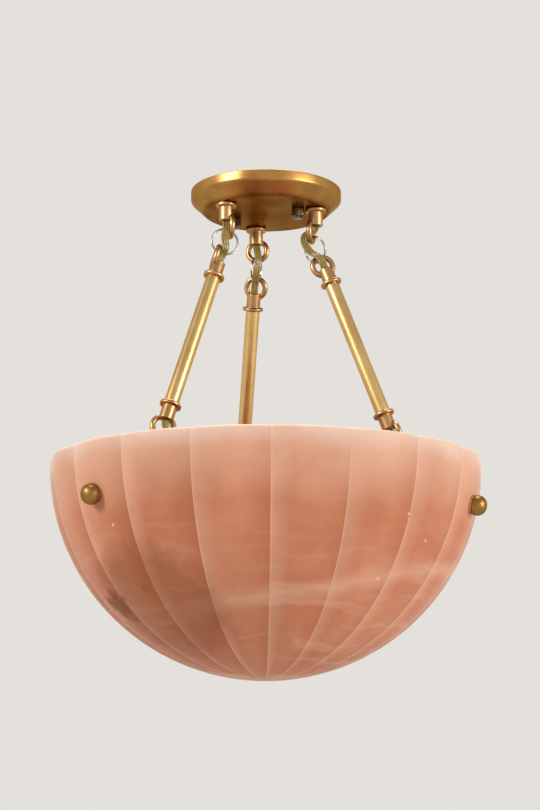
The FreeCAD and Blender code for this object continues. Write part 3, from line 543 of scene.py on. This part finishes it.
def alabaster():
    """Honed pink alabaster, carved and rubbed smooth.

    Soft clouds, a colour that deepens towards the pole, a pale vein that cuts through on a slant and fades out
    on the left, and thin layers that show as streaks in the lower half. A pale band down from the rim and a
    whiter line along its top are painted light from above. The valleys are paler, and across each lobe the
    left flank carries painted light and the right flank painted shade. Low on the left is a brown stain with a
    small one beside it, in a brownish zone that is partly painted shade, and a few white flecks are strewn
    about. Each row of the table lays one colour over those before it: where from, between which values, and
    how much.
    """
    material, tree, shader, place, _ = new_material("honed_alabaster")
    rim = -setting("bowl_drop")
    pole = rim - setting("bowl_depth")
    bend = add_node(tree, "TexNoise", {"Vector": place, "Scale": 1 / (45 * MM), "Detail": 4.0})
    warp = add_node(tree, "VectorMath", {0: bend.outputs[1], 1: (0.5, 0.5, 0.5)}, operation="SUBTRACT")
    drift = add_node(
        tree, "VectorMath", {0: warp.outputs[0], 1: (24 * MM,) * 3, 2: place}, operation="MULTIPLY_ADD"
    )
    spot = add_node(tree, "SeparateXYZ", {0: drift.outputs[0]})
    sideways, _, height = spot.outputs
    clouds = add_node(
        tree, "TexNoise", {"Vector": place, "Scale": 1 / (60 * MM), "Detail": 6.0, "Roughness": 0.55}
    )
    sheets = (1 / (80 * MM), 1 / (80 * MM), 1 / (6 * MM))
    layers = add_node(tree, "Mapping", {0: drift.outputs[0], "Scale": sheets})
    grain = add_node(tree, "TexNoise", {"Vector": layers.outputs[0], "Scale": 1.0, "Detail": 5.0})
    streaky = add_node(tree, "MapRange", {0: height, 1: rim - 30 * MM, 2: pole, 4: 0.375})
    slant = add_node(tree, "Math", {0: sideways, 1: -0.17, 2: height}, operation="MULTIPLY_ADD")
    vein = add_node(tree, "Math", {0: slant.outputs[0], 1: rim - 109 * MM}, operation="SUBTRACT")
    off_vein = add_node(tree, "Math", {0: vein.outputs[0]}, operation="ABSOLUTE")
    strong = add_node(tree, "MapRange", {0: sideways, 1: -90 * MM, 2: -40 * MM, 3: 0.05, 4: 0.36})
    crumbs = add_node(tree, "TexNoise", {"Vector": place, "Scale": 1 / (12 * MM), "Detail": 5.0})
    ragged = []
    for middle in (
        (-94 * MM, -70 * MM, rim - 123 * MM),
        (-116 * MM, -33 * MM, rim - 116 * MM),
        (-97 * MM, -73 * MM, rim - 103 * MM),
    ):
        reach = add_node(tree, "VectorMath", {0: place, 1: middle}, operation="DISTANCE")
        ragged.append(add_node(
            tree, "Math", {0: crumbs.outputs[0], 1: 26 * MM, 2: reach.outputs[1]}, operation="MULTIPLY_ADD"
        ))
    zone, stain, small_stain = (node.outputs[0] for node in ragged)
    # Marks for painted light on the lobes' left flanks and painted shade on their right flanks.
    left = add_node(tree, "Attribute", attribute_name="left_flank").outputs["Fac"]
    right = add_node(tree, "Attribute", attribute_name="right_flank").outputs["Fac"]
    cells = add_node(tree, "TexVoronoi", {"Vector": place, "Scale": 1 / (26 * MM)})
    shade = tint("stone")
    for source, low, high, least, most, name in (
        (clouds.outputs[0], 0.40, 0.75, 0.0, 0.7, "deep_stone_and_painted_shade"),
        (height, rim - 30 * MM, pole, 0.0, 0.5, "deep_stone_and_painted_shade"),
        # Painted shade on the right flank of each lobe and in the valleys.
        (right, 0.30, 1.0, 0.0, 0.5, "deep_stone_and_painted_shade"),
        (grain.outputs[0], 0.52, 0.74, 0.0, streaky.outputs[0], "pale_stone_and_painted_light"),
        (off_vein.outputs[0], 0.0, 9 * MM, strong.outputs[0], 0.0, "pale_stone_and_painted_light"),
        # Painted light from above: a pale band down from the rim.
        (height, rim - 52 * MM, rim + 4 * MM, 0.0, 0.68, "pale_stone_and_painted_light"),
        # Painted light on the left flank of each lobe; the next row also pales the valleys themselves.
        (left, 0.45, 1.0, 0.0, 0.3, "pale_stone_and_painted_light"),
        (left, 0.93, 1.0, 0.0, 0.35, "pale_stone_and_painted_light"),
        # Painted highlight: a whiter line along the top of the rim.
        (height, rim - 15 * MM, rim, 0.0, 0.5, "fleck_and_painted_highlight"),
        # Partly painted shade: a brownish, darker zone low on the left round the stain.
        (zone, 57 * MM, 76 * MM, 0.55, 0.0, "brown_zone_and_painted_shade"),
        (stain, 23 * MM, 28 * MM, 0.75, 0.0, "stone_stain"),
        (small_stain, 15 * MM, 19 * MM, 0.5, 0.0, "stone_stain"),
        (cells.outputs["Distance"], 0.02, 0.05, 0.8, 0.0, "fleck_and_painted_highlight"),
    ):
        share = add_node(tree, "MapRange", {0: source, 1: low, 2: high, 3: least, 4: most})
        mixed = add_node(tree, "Mix", {0: share.outputs[0], 6: shade, 7: tint(name)}, data_type="RGBA")
        shade = mixed.outputs[2]
    bump = add_node(tree, "Bump", {"Height": clouds.outputs[0], "Strength": 0.15, "Distance": 0.6 * MM})
    fill(tree, shader, {
        "Base Color": shade,
        "Roughness": 0.42,
        "IOR": 1.52,
        "Specular IOR Level": 0.14,
        "Normal": bump.outputs[0],
        "Subsurface Weight": 0.3,
        "Subsurface Radius": (1.0, 0.45, 0.28),
        "Subsurface Scale": 7 * MM,
    })
    return material


def loop_frame(node, axis):
    """Frame of a loop fitting found from its solid: its seat, its axis, and the side its ring is on."""
    points = corners_of(node)
    height = points @ axis
    seat = points[height < height.min() + 1e-5].mean(axis=0) + axis * setting("stem_length")
    ring = points[(points - seat) @ axis > setting("neck_height") + 1 * MM]
    side = thin_way(ring)
    side = side * np.sign((ring.mean(axis=0) - seat) @ side)
    return placed(seat, axis, side)


def rod_ends(name):
    """Middles of the upper and lower ends of one rod's tube."""
    points = corners_of("rod_tube_" + name)
    along = np.linalg.svd(points - points.mean(axis=0))[2][0]
    along = along * -np.sign(along[2])
    run = points @ along
    upper = points[run < run.min() + 1e-4].mean(axis=0)
    lower = points[run > run.max() - 1e-4].mean(axis=0)
    return upper, lower


def loop_fitting(name, axis, body, brass):
    """Neck turned with a flange and threaded stem, and a ring bent from round wire and brazed to its side.

    The ring is the circle (offset, r sin a, height - r cos a), left open where it is buried in the neck.
    """
    place = loop_frame(name, axis)
    bore = setting("bore_radius")
    neck_top = setting("neck_height")
    stem = setting("stem_radius")
    neck = turned("neck", [
        (bore, -setting("stem_length"), 0),
        (stem, -setting("stem_length"), 0.3 * MM),
        (stem, 0, 0),
        (setting("flange_radius"), 0, 1.2 * MM),
        (setting("flange_radius"), setting("flange_height"), 1.2 * MM),
        (setting("neck_radius"), setting("flange_height"), 0.4 * MM),
        (setting("neck_radius"), neck_top, 0.8 * MM),
        (bore, neck_top, 0.4 * MM),
    ], place, 72, (-setting("stem_length"), -0.3 * MM, -0.22 * MM, bore + 0.5 * MM))
    radius = (setting("ring_inside") + setting("ring_wire")) / 2
    half_gap = 3.2 * MM
    buried = math.asin(half_gap / radius)
    angle = np.linspace(buried, 2 * np.pi - buried, 72)
    arc = np.stack([
        np.full_like(angle, setting("ring_offset")),
        radius * np.sin(angle),
        setting("ring_height") - radius * np.cos(angle),
    ], axis=1)
    ring = carried("ring", moved(arc, place), circle(setting("ring_wire") / 2, 28), place[:3, 0])
    piece(name, [neck, ring], body, brass)


class LIGHT_OT_canopy(bpy.types.Operator):
    """Canopy pan, pressed from sheet with a rolled rim"""

    bl_idname = "bowl_light.canopy"
    bl_label = "Canopy"

    def execute(self, context):
        radius = setting("canopy_radius")
        height = setting("canopy_height")
        wall = setting("canopy_wall")
        flat = setting("canopy_flat")
        band = setting("canopy_band")
        hem = radius - setting("canopy_hem")
        pan = turned("pan", [
            (0, -height, 0),
            (flat, -height, 2.2 * MM),
            (radius, -band, 3.2 * MM),
            (radius, 0, 0.5 * MM),
            (hem, 0, 0),
            (hem, -wall, 0),
            (radius - wall, -wall, 0),
            (radius - wall, wall / 2 - band, 2 * MM),
            (flat - wall / 3, wall - height, 1 * MM),
            (0, wall - height, 0),
        ], np.eye(4), 192)
        # The lowest 3 mm of the pan, its underside, gets painted shade.
        brass = satin_brass(
            "satin_brass_pressed", "brass_deep", "brass_aged_and_shade", (0.1, 0.55), (0.28, 0.36),
            (60 * MM, 1.2 * MM), low=3 * MM - height,
        )
        piece("canopy", [pan], "canopy", brass)
        return {"FINISHED"}


class LIGHT_OT_suspension(bpy.types.Operator):
    """Loop fittings, rods and wire links that carry the bowl"""

    bl_idname = "bowl_light.suspension"
    bl_label = "Suspension"

    def execute(self, context):
        cast = satin_brass(
            "satin_brass_turned", "brass_rose", "brass_aged_and_shade", (0.0, 0.5), (0.30, 0.40), (30 * MM, 1.2 * MM)
        )
        drawn = satin_brass(
            "satin_brass_drawn", "brass", "brass_deep", (0.0, 0.5), (0.26, 0.34), (2.4 * MM, 120 * MM)
        )
        steel = plain_metal("drawn_steel_wire", "steel", (0.20, 0.28), 15 * MM)
        for name in ARMS:
            upper, lower = rod_ends(name)
            down = unit(lower - upper)
            loop_fitting("canopy_loop_" + name, -UP, "canopy", cast)
            loop_fitting("rod_top_loop_" + name, -down, "rod_" + name, cast)
            loop_fitting("rod_bottom_loop_" + name, down, "rod_" + name, cast)
            loop_fitting("frame_eye_" + name, UP, "bowl", cast)
            outer = setting("rod_radius")
            inner = outer - setting("rod_wall")
            long = np.linalg.norm(lower - upper)
            tube = turned("tube", [
                (inner, 0, 0),
                (outer, 0, 0.25 * MM),
                (outer, long, 0.25 * MM),
                (inner, long, 0),
            ], placed(upper, down, UP), 96)
            piece("rod_tube_" + name, [tube], "rod_" + name, drawn)
            for level in ("upper_link_", "lower_link_"):
                self.link(level + name, steel)
        return {"FINISHED"}

    def link(self, name, steel):
        """Open wire ring: a round section carried round a circle fitted to the solid, with a narrow gap.

        The circle's centre c, in the points' plane, solves 2 p c + k = p p for all points p by least squares.
        """
        points = corners_of(name)
        normal = thin_way(points)
        terms = np.c_[2 * points, np.ones(len(points))]
        centre = np.linalg.lstsq(terms, (points ** 2).sum(axis=1), rcond=None)[0][:3]
        middle = centre + normal * ((points.mean(axis=0) - centre) @ normal)
        gap = unit(middle - points.mean(axis=0))
        place = placed(middle, normal, gap)
        radius = (setting("link_inside") + setting("link_wire")) / 2
        angle = np.radians(np.linspace(4, 356, 120))
        path = moved(ringed(radius, angle, 0), place)
        ring = carried("wire", path, circle(setting("link_wire") / 2, 16), normal)
        piece(name, [ring], name, steel)


class LIGHT_OT_bowl(bpy.types.Operator):
    """Fluted half-globe bowl, carved from stone"""

    bl_idname = "bowl_light.bowl"
    bl_label = "Bowl"

    def execute(self, context):
        grid, marks = self.wall()
        stone = surface("wall", grid, marks=marks)
        piece("bowl", [stone], "bowl", alabaster())
        return {"FINISHED"}

    def lobes(self, angle):
        """Plan of the lobes as a share of the radius: one circular arc to each, meeting in softened valleys.

        The arc through the crest (1, 0) and two valleys of radius v at half the step has its centre at
        c = (1 - v v) / (2 (1 - v cos half)), so a ray at angle p meets it at
        c cos p + sqrt((1 - c)^2 - (c sin p)^2). A soft maximum of two neighbours rounds the valley.
        """
        step = 2 * np.pi / setting("flute_count")
        valley = 1 - setting("flute_depth") / setting("bowl_radius")
        centre = (1 - valley ** 2) / (2 * (1 - valley * math.cos(step / 2)))
        turn = np.mod(angle + step / 2, step) - step / 2
        near = self.arc(turn, centre)
        far = self.arc(np.abs(turn) - step, centre)
        soft = 0.0006
        lead = np.exp((far - near) / soft)
        return near + soft * np.log1p(lead) - soft * np.log(2) * lead

    def arc(self, turn, centre):
        """Distance at which a ray meets one lobe's arc."""
        return centre * np.cos(turn) + np.sqrt((1 - centre) ** 2 - (centre * np.sin(turn)) ** 2)

    def wall(self):
        """Rows from the outer pole up to the rim, over it, and down the round hollow to the inner pole.

        With them come two marks, from 0 on a crest to 1 in a valley, one for each flank of the lobes: the
        material paints light on the left flanks and shade on the right ones.
        """
        count = setting("flute_count")
        radius = setting("bowl_radius")
        depth = setting("bowl_depth")
        inside = setting("bowl_inside")
        edge = 2.2 * MM
        lip = 1.6 * MM
        share = np.linspace(-1, 1, 31)[:-1]
        lobe = np.sin(share * np.pi / 2) * np.pi / count
        angle = (np.arange(count)[:, None] * 2 * np.pi / count + lobe).ravel() + math.radians(90)
        plan = self.lobes(angle - math.radians(90))
        start = math.asin(edge / depth)
        dip = np.linspace(np.pi / 2, start, 96)
        outer_r = radius * np.cos(dip)
        outer_z = -depth * np.sin(dip)
        turn = np.linspace(0, np.pi / 2, 9)[1:]
        over_r = radius - edge * (1 - np.cos(turn))
        over_z = edge * np.sin(turn) - edge
        back = np.linspace(np.pi / 2, np.pi, 7)
        in_r = inside + lip * (1 + np.cos(back))
        in_z = lip * np.sin(back) - lip
        low = np.linspace(math.asin(lip / inside), np.pi / 2, 44)[1:]
        hollow_r = inside * np.cos(low)
        hollow_z = -inside * np.sin(low)
        fluted_r = np.concatenate([outer_r, over_r])
        round_r = np.concatenate([in_r, hollow_r])
        heights = np.concatenate([outer_z, over_z, in_z, hollow_z])
        ring = np.concatenate([fluted_r[:, None] * plan, np.repeat(round_r[:, None], len(angle), axis=1)])
        grid = ringed(ring, angle, heights[:, None] - setting("bowl_drop"))
        across = np.tile(lobe, count) * count / np.pi
        fluted = np.arange(len(heights))[:, None] < len(fluted_r)
        valley = np.isclose(np.abs(across), 1)
        # Marks for painted light on each lobe's left flank and painted shade on its right flank, both full in the
        # valleys.
        left = np.where(valley, 1, np.clip(-across, 0, 1)) * fluted
        right = np.where(valley, 1, np.clip(across, 0, 1)) * fluted
        return grid, {"left_flank": left, "right_flank": right}


class LIGHT_OT_knobs(bpy.types.Operator):
    """Domed knob screws on the bowl's side, and the knurled cap nuts under the canopy"""

    bl_idname = "bowl_light.knobs"
    bl_label = "Knobs and nuts"

    def execute(self, context):
        brass = satin_brass(
            "satin_brass_domed", "brass_olive", "brass_aged_and_shade", (0.1, 0.55), (0.38, 0.5), (30 * MM, 1.2 * MM)
        )
        radius = setting("knob_radius")
        height = setting("knob_height")
        for name in ARMS:
            seat, axis = joint("knob_%s_turn" % name)
            tip = ((corners_of("knob_screw_" + name) - seat) @ axis).min()
            knob = turned("knob", [
                (0, tip, 0),
                (2.4 * MM, tip, 0.4 * MM),
                (2.4 * MM, 0, 0),
                (radius - 0.8 * MM, 0, 0.2 * MM),
                (radius, 1 * MM, 0.5 * MM),
                (radius, height, radius - 1 * MM),
                (0, height, 0),
            ], placed(seat, axis, UP), 72, (tip + 0.5 * MM, -8 * MM, -0.2 * MM, 1.5 * MM))
            piece("knob_screw_" + name, [knob], "knob_" + name, brass)
        self.cap_nuts()
        return {"FINISHED"}

    def cap_nuts(self):
        """Knurled nuts: r gains 0.2 mm * |cos(n a)| on the side, with a chamfered domed end."""
        nickel = plain_metal("dark_nickel_knurled", "nickel", (0.22, 0.34), 6 * MM)
        radius = setting("nut_radius")
        high = setting("nut_height")
        nuts = []
        for side in (1, -1):
            spot = polar(side * setting("stud_circle"), STUD_AZIMUTH, -setting("canopy_height"))
            profile = outline([
                (0, 0, 0),
                (radius - 0.6 * MM, 0, 0),
                (radius - 0.2 * MM, 0.5 * MM, 0),
                (radius - 0.2 * MM, high - 2 * MM, 0),
                (radius - 0.8 * MM, high - 1.4 * MM, 0),
                (radius - 1.6 * MM, high, 0.8 * MM),
                (0, high, 0),
            ])
            angle = full_turn(180)
            grip = (profile[:, :1] > radius - 0.3 * MM) * 0.2 * MM
            ring = profile[:, :1] + grip * np.abs(np.cos(KNURLS * angle))
            grid = ringed(ring, angle, profile[:, 1:])
            nuts.append(surface("nut", moved(grid, placed(spot, -UP, polar(1, 0)))))
        piece("cap_nuts", nuts, "canopy", nickel)


class LIGHT_OT_cords(bpy.types.Operator):
    """Flat three-core cords that loop from the canopy to the rods and from the rods into the bowl"""

    bl_idname = "bowl_light.cords"
    bl_label = "Cords"

    def execute(self, context):
        jacket = clear_jacket()
        for name, azimuth in ARMS.items():
            upper = self.cord("upper_cord_" + name, azimuth, UPPER_ROUTES[name], None, jacket)
            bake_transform(upper)
            self.cord("lower_cord_" + name, azimuth, LOWER_ROUTES[name], "bowl", jacket)
        return {"FINISHED"}

    def cord(self, name, azimuth, route, body, jacket):
        """Three round cores side by side with thin webs, carried along the route's smooth spline.

        Across the cord at x, half its thickness is the largest sqrt(r r - (x - c)^2) over the cores'
        centres c, and no less than the web's. Its flat side faces the photograph's view.
        """
        outward = polar(1, azimuth)
        sideways = np.cross(UP, outward)
        spots = np.array(route)
        points = spots[:, :1] * outward + spots[:, 1:2] * sideways + spots[:, 2:] * UP
        path = self.spline(points)
        core = setting("cord_core")
        half = setting("cord_width") / 2
        turn = full_turn(60)
        across = half * np.cos(turn)
        centres = np.array([-1, 0, 1]) * (half - core)
        bulge = np.sqrt(np.clip(core ** 2 - (across[:, None] - centres) ** 2, 0, None)).max(axis=1)
        web = np.where(np.abs(across) < half - core, 0.45 * core, 0)
        section = np.stack([across, np.sign(np.sin(turn)) * np.maximum(bulge, web)], axis=1)
        tube = carried("cord", path, section, polar(1, -CAMERA_TURN))
        made = piece(name, [tube], body, jacket)
        setting("cord_width")
        return made

    def spline(self, points):
        """Points along the smooth NURBS line that has the route as its control points."""
        curve = bpy.data.curves.new("route", "CURVE")
        curve.dimensions = "3D"
        curve.resolution_u = 16
        line = curve.splines.new("NURBS")
        line.points.add(len(points) - 1)
        line.points.foreach_set("co", np.c_[points, np.ones(len(points))].ravel())
        line.order_u = 3
        line.use_endpoint_u = True
        holder = bpy.data.objects.new("route", curve)
        mesh = bpy.data.meshes.new_from_object(holder)
        flat = np.zeros(len(mesh.vertices) * 3)
        mesh.vertices.foreach_get("co", flat)
        bpy.data.objects.remove(holder)
        bpy.data.curves.remove(curve)
        bpy.data.meshes.remove(mesh)
        return flat.reshape(-1, 3)


class LIGHT_OT_lamps(bpy.types.Operator):
    """Screw lamps: a threaded cap and a soft white glass"""

    bl_idname = "bowl_light.lamps"
    bl_label = "Lamps"

    def execute(self, context):
        glass = opal_glass()
        metal = plain_metal("pressed_aluminium_cap", "zinc", (0.22, 0.36), 2 * MM)
        cap = setting("bulb_cap")
        deep = setting("bulb_cap_length")
        radius = setting("bulb_radius")
        long = setting("bulb_length")
        wall = setting("bulb_wall")
        for number in (1, 2, 3):
            mouth, axis = joint("bulb_%d_turn" % number)
            place = placed(mouth, axis, UP)
            body = "bulb_%d" % number
            base = turned("cap", [
                (0, -1 * MM - deep, 0),
                (5 * MM, -1 * MM - deep, 1 * MM),
                (cap, 3 * MM - deep, 1 * MM),
                (cap, 0, 0.3 * MM),
                (0, 0, 0),
            ], place, 72, (4 * MM - deep, -1 * MM, -0.5 * MM, cap - 1 * MM))
            piece("bulb_cap_%d" % number, [base], body, metal)
            shell = turned("glass", [
                (cap - wall, 0.05 * MM, 0),
                (cap, 0.05 * MM, 0),
                (radius, 0.42 * long, 0.6 * radius),
                (radius, long, radius - 0.5 * MM),
                (0, long, 0),
                (0, long - wall, 0),
                (radius - wall, long - wall, radius - wall - 0.5 * MM),
                (radius - wall, 0.42 * long + 0.3 * MM, 0.6 * radius),
            ], place, 72)
            piece("bulb_glass_%d" % number, [shell], body, glass)
        return {"FINISHED"}


class LIGHT_OT_hidden(bpy.types.Operator):
    """Finishes of the frame, sockets and mounting hardware that stay as their solids"""

    bl_idname = "bowl_light.hidden"
    bl_label = "Hidden pieces"

    def execute(self, context):
        shell = satin_brass(
            "pressed_brass_shell", "brass", "brass_deep", (0.0, 0.5), (0.28, 0.38), (30 * MM, 1.2 * MM)
        )
        finishes = {
            "frame_enamel": coated("white_stove_enamel", "enamel", 0.35, 1.5 * MM, 0.05 * MM),
            "socket_porcelain": coated("glazed_porcelain", "porcelain", 0.14, 12 * MM, 0.05 * MM, 0.6),
            "pad_rubber": coated("black_rubber", "rubber", 0.7, 0.6 * MM, 0.1 * MM),
            "ground_enamel": coated("green_painted_screw", "ground", 0.4, 1 * MM, 0.05 * MM),
            "zinc_steel": plain_metal("zinc_plated_steel", "zinc", (0.28, 0.45), 4 * MM),
            "shell_brass": shell,
            "satin_brass": shell,
        }
        for part in frame["record"]["subparts"]:
            node = frame["nodes"][part["node"]]
            if node.hide_render:
                continue
            node.data.materials.clear()
            node.data.materials.append(finishes[part["material_slot"]])
        return {"FINISHED"}


class LIGHT_OT_stage(bpy.types.Operator):
    """Pale floor, soft studio light and the camera"""

    bl_idname = "bowl_light.stage"
    bl_label = "Stage"

    def execute(self, context):
        scene = context.scene
        scene.view_settings.view_transform = "Standard"
        self.floor()
        self.world(scene)
        for name, spot, width, power in LAMPS:
            self.lamp(name, spot, width, power)
        self.camera(scene)
        return {"FINISHED"}

    def floor(self):
        """Round plain floor well below the light: (r cos a, r sin a, height) for r up to its radius."""
        ring = np.array([[0.0], [FLOOR_RADIUS]])
        mesh = surface("floor", ringed(ring, full_turn(96), FLOOR_HEIGHT))
        mesh.materials.append(self.floor_paint())
        linked("floor", mesh)

    def floor_paint(self):
        """Matt pale paint, which far from the light takes the backdrop's colour to the eye and to metal."""
        material = coated("pale_floor_paint", "floor", 0.6, 40 * MM, 0.1 * MM)
        tree = material.node_tree
        output = next(n for n in tree.nodes if n.type == "OUTPUT_MATERIAL")
        shader = output.inputs[0].links[0].from_socket
        place = add_node(tree, "TexCoord")
        under = (0, 0, FLOOR_HEIGHT)
        away = add_node(tree, "VectorMath", {0: place.outputs["Object"], 1: under}, operation="DISTANCE")
        far = add_node(tree, "MapRange", {0: away.outputs[1], 1: 0.5, 2: 2.2})
        ray = add_node(tree, "LightPath").outputs["Is Diffuse Ray"]
        lit = add_node(tree, "Math", {0: far.outputs[0], 1: ray}, operation="SUBTRACT", use_clamp=True)
        glow = add_node(tree, "Emission", {0: tint("floor"), 1: 1.0})
        mixed = add_node(tree, "MixShader", {0: lit.outputs[0], 1: shader, 2: glow.outputs[0]})
        tree.links.new(mixed.outputs[0], output.inputs[0])
        return material

    def world(self, scene):
        """Soft grey surroundings for light, and a pale backdrop to the eye, to metal and to glass."""
        world = bpy.data.worlds.new("studio")
        scene.world = world
        world.use_nodes = True
        tree = world.node_tree
        tree.nodes.clear()
        path = add_node(tree, "LightPath")
        seen = path.outputs["Is Camera Ray"]
        for ray in ("Is Transmission Ray", "Is Glossy Ray"):
            seen = add_node(tree, "Math", {0: seen, 1: path.outputs[ray]}, operation="MAXIMUM").outputs[0]
        light = add_node(tree, "Background", {0: tint("studio"), 1: 0.33})
        toward = add_node(tree, "TexCoord")
        height = add_node(tree, "SeparateXYZ", {0: toward.outputs["Generated"]})
        rise = add_node(tree, "Math", {0: height.outputs[2]}, operation="ABSOLUTE")
        fade = add_node(tree, "MapRange", {0: rise.outputs[0], 1: 0.4, 2: 0.95})
        wall = add_node(
            tree, "Mix", {0: fade.outputs[0], 6: tint("floor"), 7: tint("ceiling")}, data_type="RGBA"
        )
        backdrop = add_node(tree, "Background", {0: wall.outputs[2], 1: 1.0})
        mixed = add_node(tree, "MixShader", {0: seen, 1: light.outputs[0], 2: backdrop.outputs[0]})
        add_node(tree, "OutputWorld", {"Surface": mixed.outputs[0]})

    def lamp(self, name, spot, width, power):
        """Square soft light aimed at the middle of the piece."""
        data = bpy.data.lights.new(name, "AREA")
        data.size = width
        data.energy = power
        made = linked(name, data)
        made.location = spot
        aim = Vector(LAMP_AIM) - Vector(spot)
        made.rotation_euler = aim.to_track_quat("-Z", "Y").to_euler()
        made.visible_camera = False

    def camera(self, scene):
        """Camera where the photograph was taken from: low, looking a little up."""
        data = bpy.data.cameras.new("camera")
        data.sensor_width = SENSOR
        data.lens = SENSOR * FOCAL_PIXELS / PHOTO_HEIGHT
        data.clip_start = 0.05
        made = linked("camera", data)
        turn = math.radians(CAMERA_TURN)
        level = math.cos(CAMERA_TILT)
        away = Vector((math.sin(turn) * level, math.cos(turn) * level, math.sin(CAMERA_TILT)))
        made.location = CAMERA_SPOT
        made.rotation_euler = away.to_track_quat("-Z", "Y").to_euler()
        scene.camera = made


class LIGHT_PT_panel(bpy.types.Panel):
    """Buttons and sizes of the bowl light"""

    bl_label = "Bowl light"
    bl_idname = "LIGHT_PT_panel"
    bl_space_type = "VIEW_3D"
    bl_region_type = "UI"
    bl_category = "Bowl light"

    def draw(self, context):
        layout = self.layout
        for operator in OPERATORS:
            layout.operator(operator.bl_idname)
        for group in (context.scene.light_sizes, context.scene.light_colours):
            for name in group.__annotations__:
                layout.prop(group, name)


OPERATORS = (
    LIGHT_OT_canopy,
    LIGHT_OT_suspension,
    LIGHT_OT_bowl,
    LIGHT_OT_knobs,
    LIGHT_OT_cords,
    LIGHT_OT_lamps,
    LIGHT_OT_hidden,
    LIGHT_OT_stage,
)
CLASSES = (LightSizes, LightColours, *OPERATORS, LIGHT_PT_panel)


def register():
    for kind in CLASSES:
        bpy.utils.register_class(kind)
    bpy.types.Scene.light_sizes = PointerProperty(type=LightSizes)
    bpy.types.Scene.light_colours = PointerProperty(type=LightColours)


def unregister():
    del bpy.types.Scene.light_colours
    del bpy.types.Scene.light_sizes
    for kind in reversed(CLASSES):
        bpy.utils.unregister_class(kind)


def main():
    """Build every piece in order."""
    register()
    bpy.ops.bowl_light.stage()
    bpy.ops.bowl_light.cords()
    bpy.ops.bowl_light.canopy()
    bpy.ops.bowl_light.suspension()
    bpy.ops.bowl_light.bowl()
    bpy.ops.bowl_light.knobs()
    bpy.ops.bowl_light.lamps()
    bpy.ops.bowl_light.hidden()


if __name__ == "__main__":
    main()
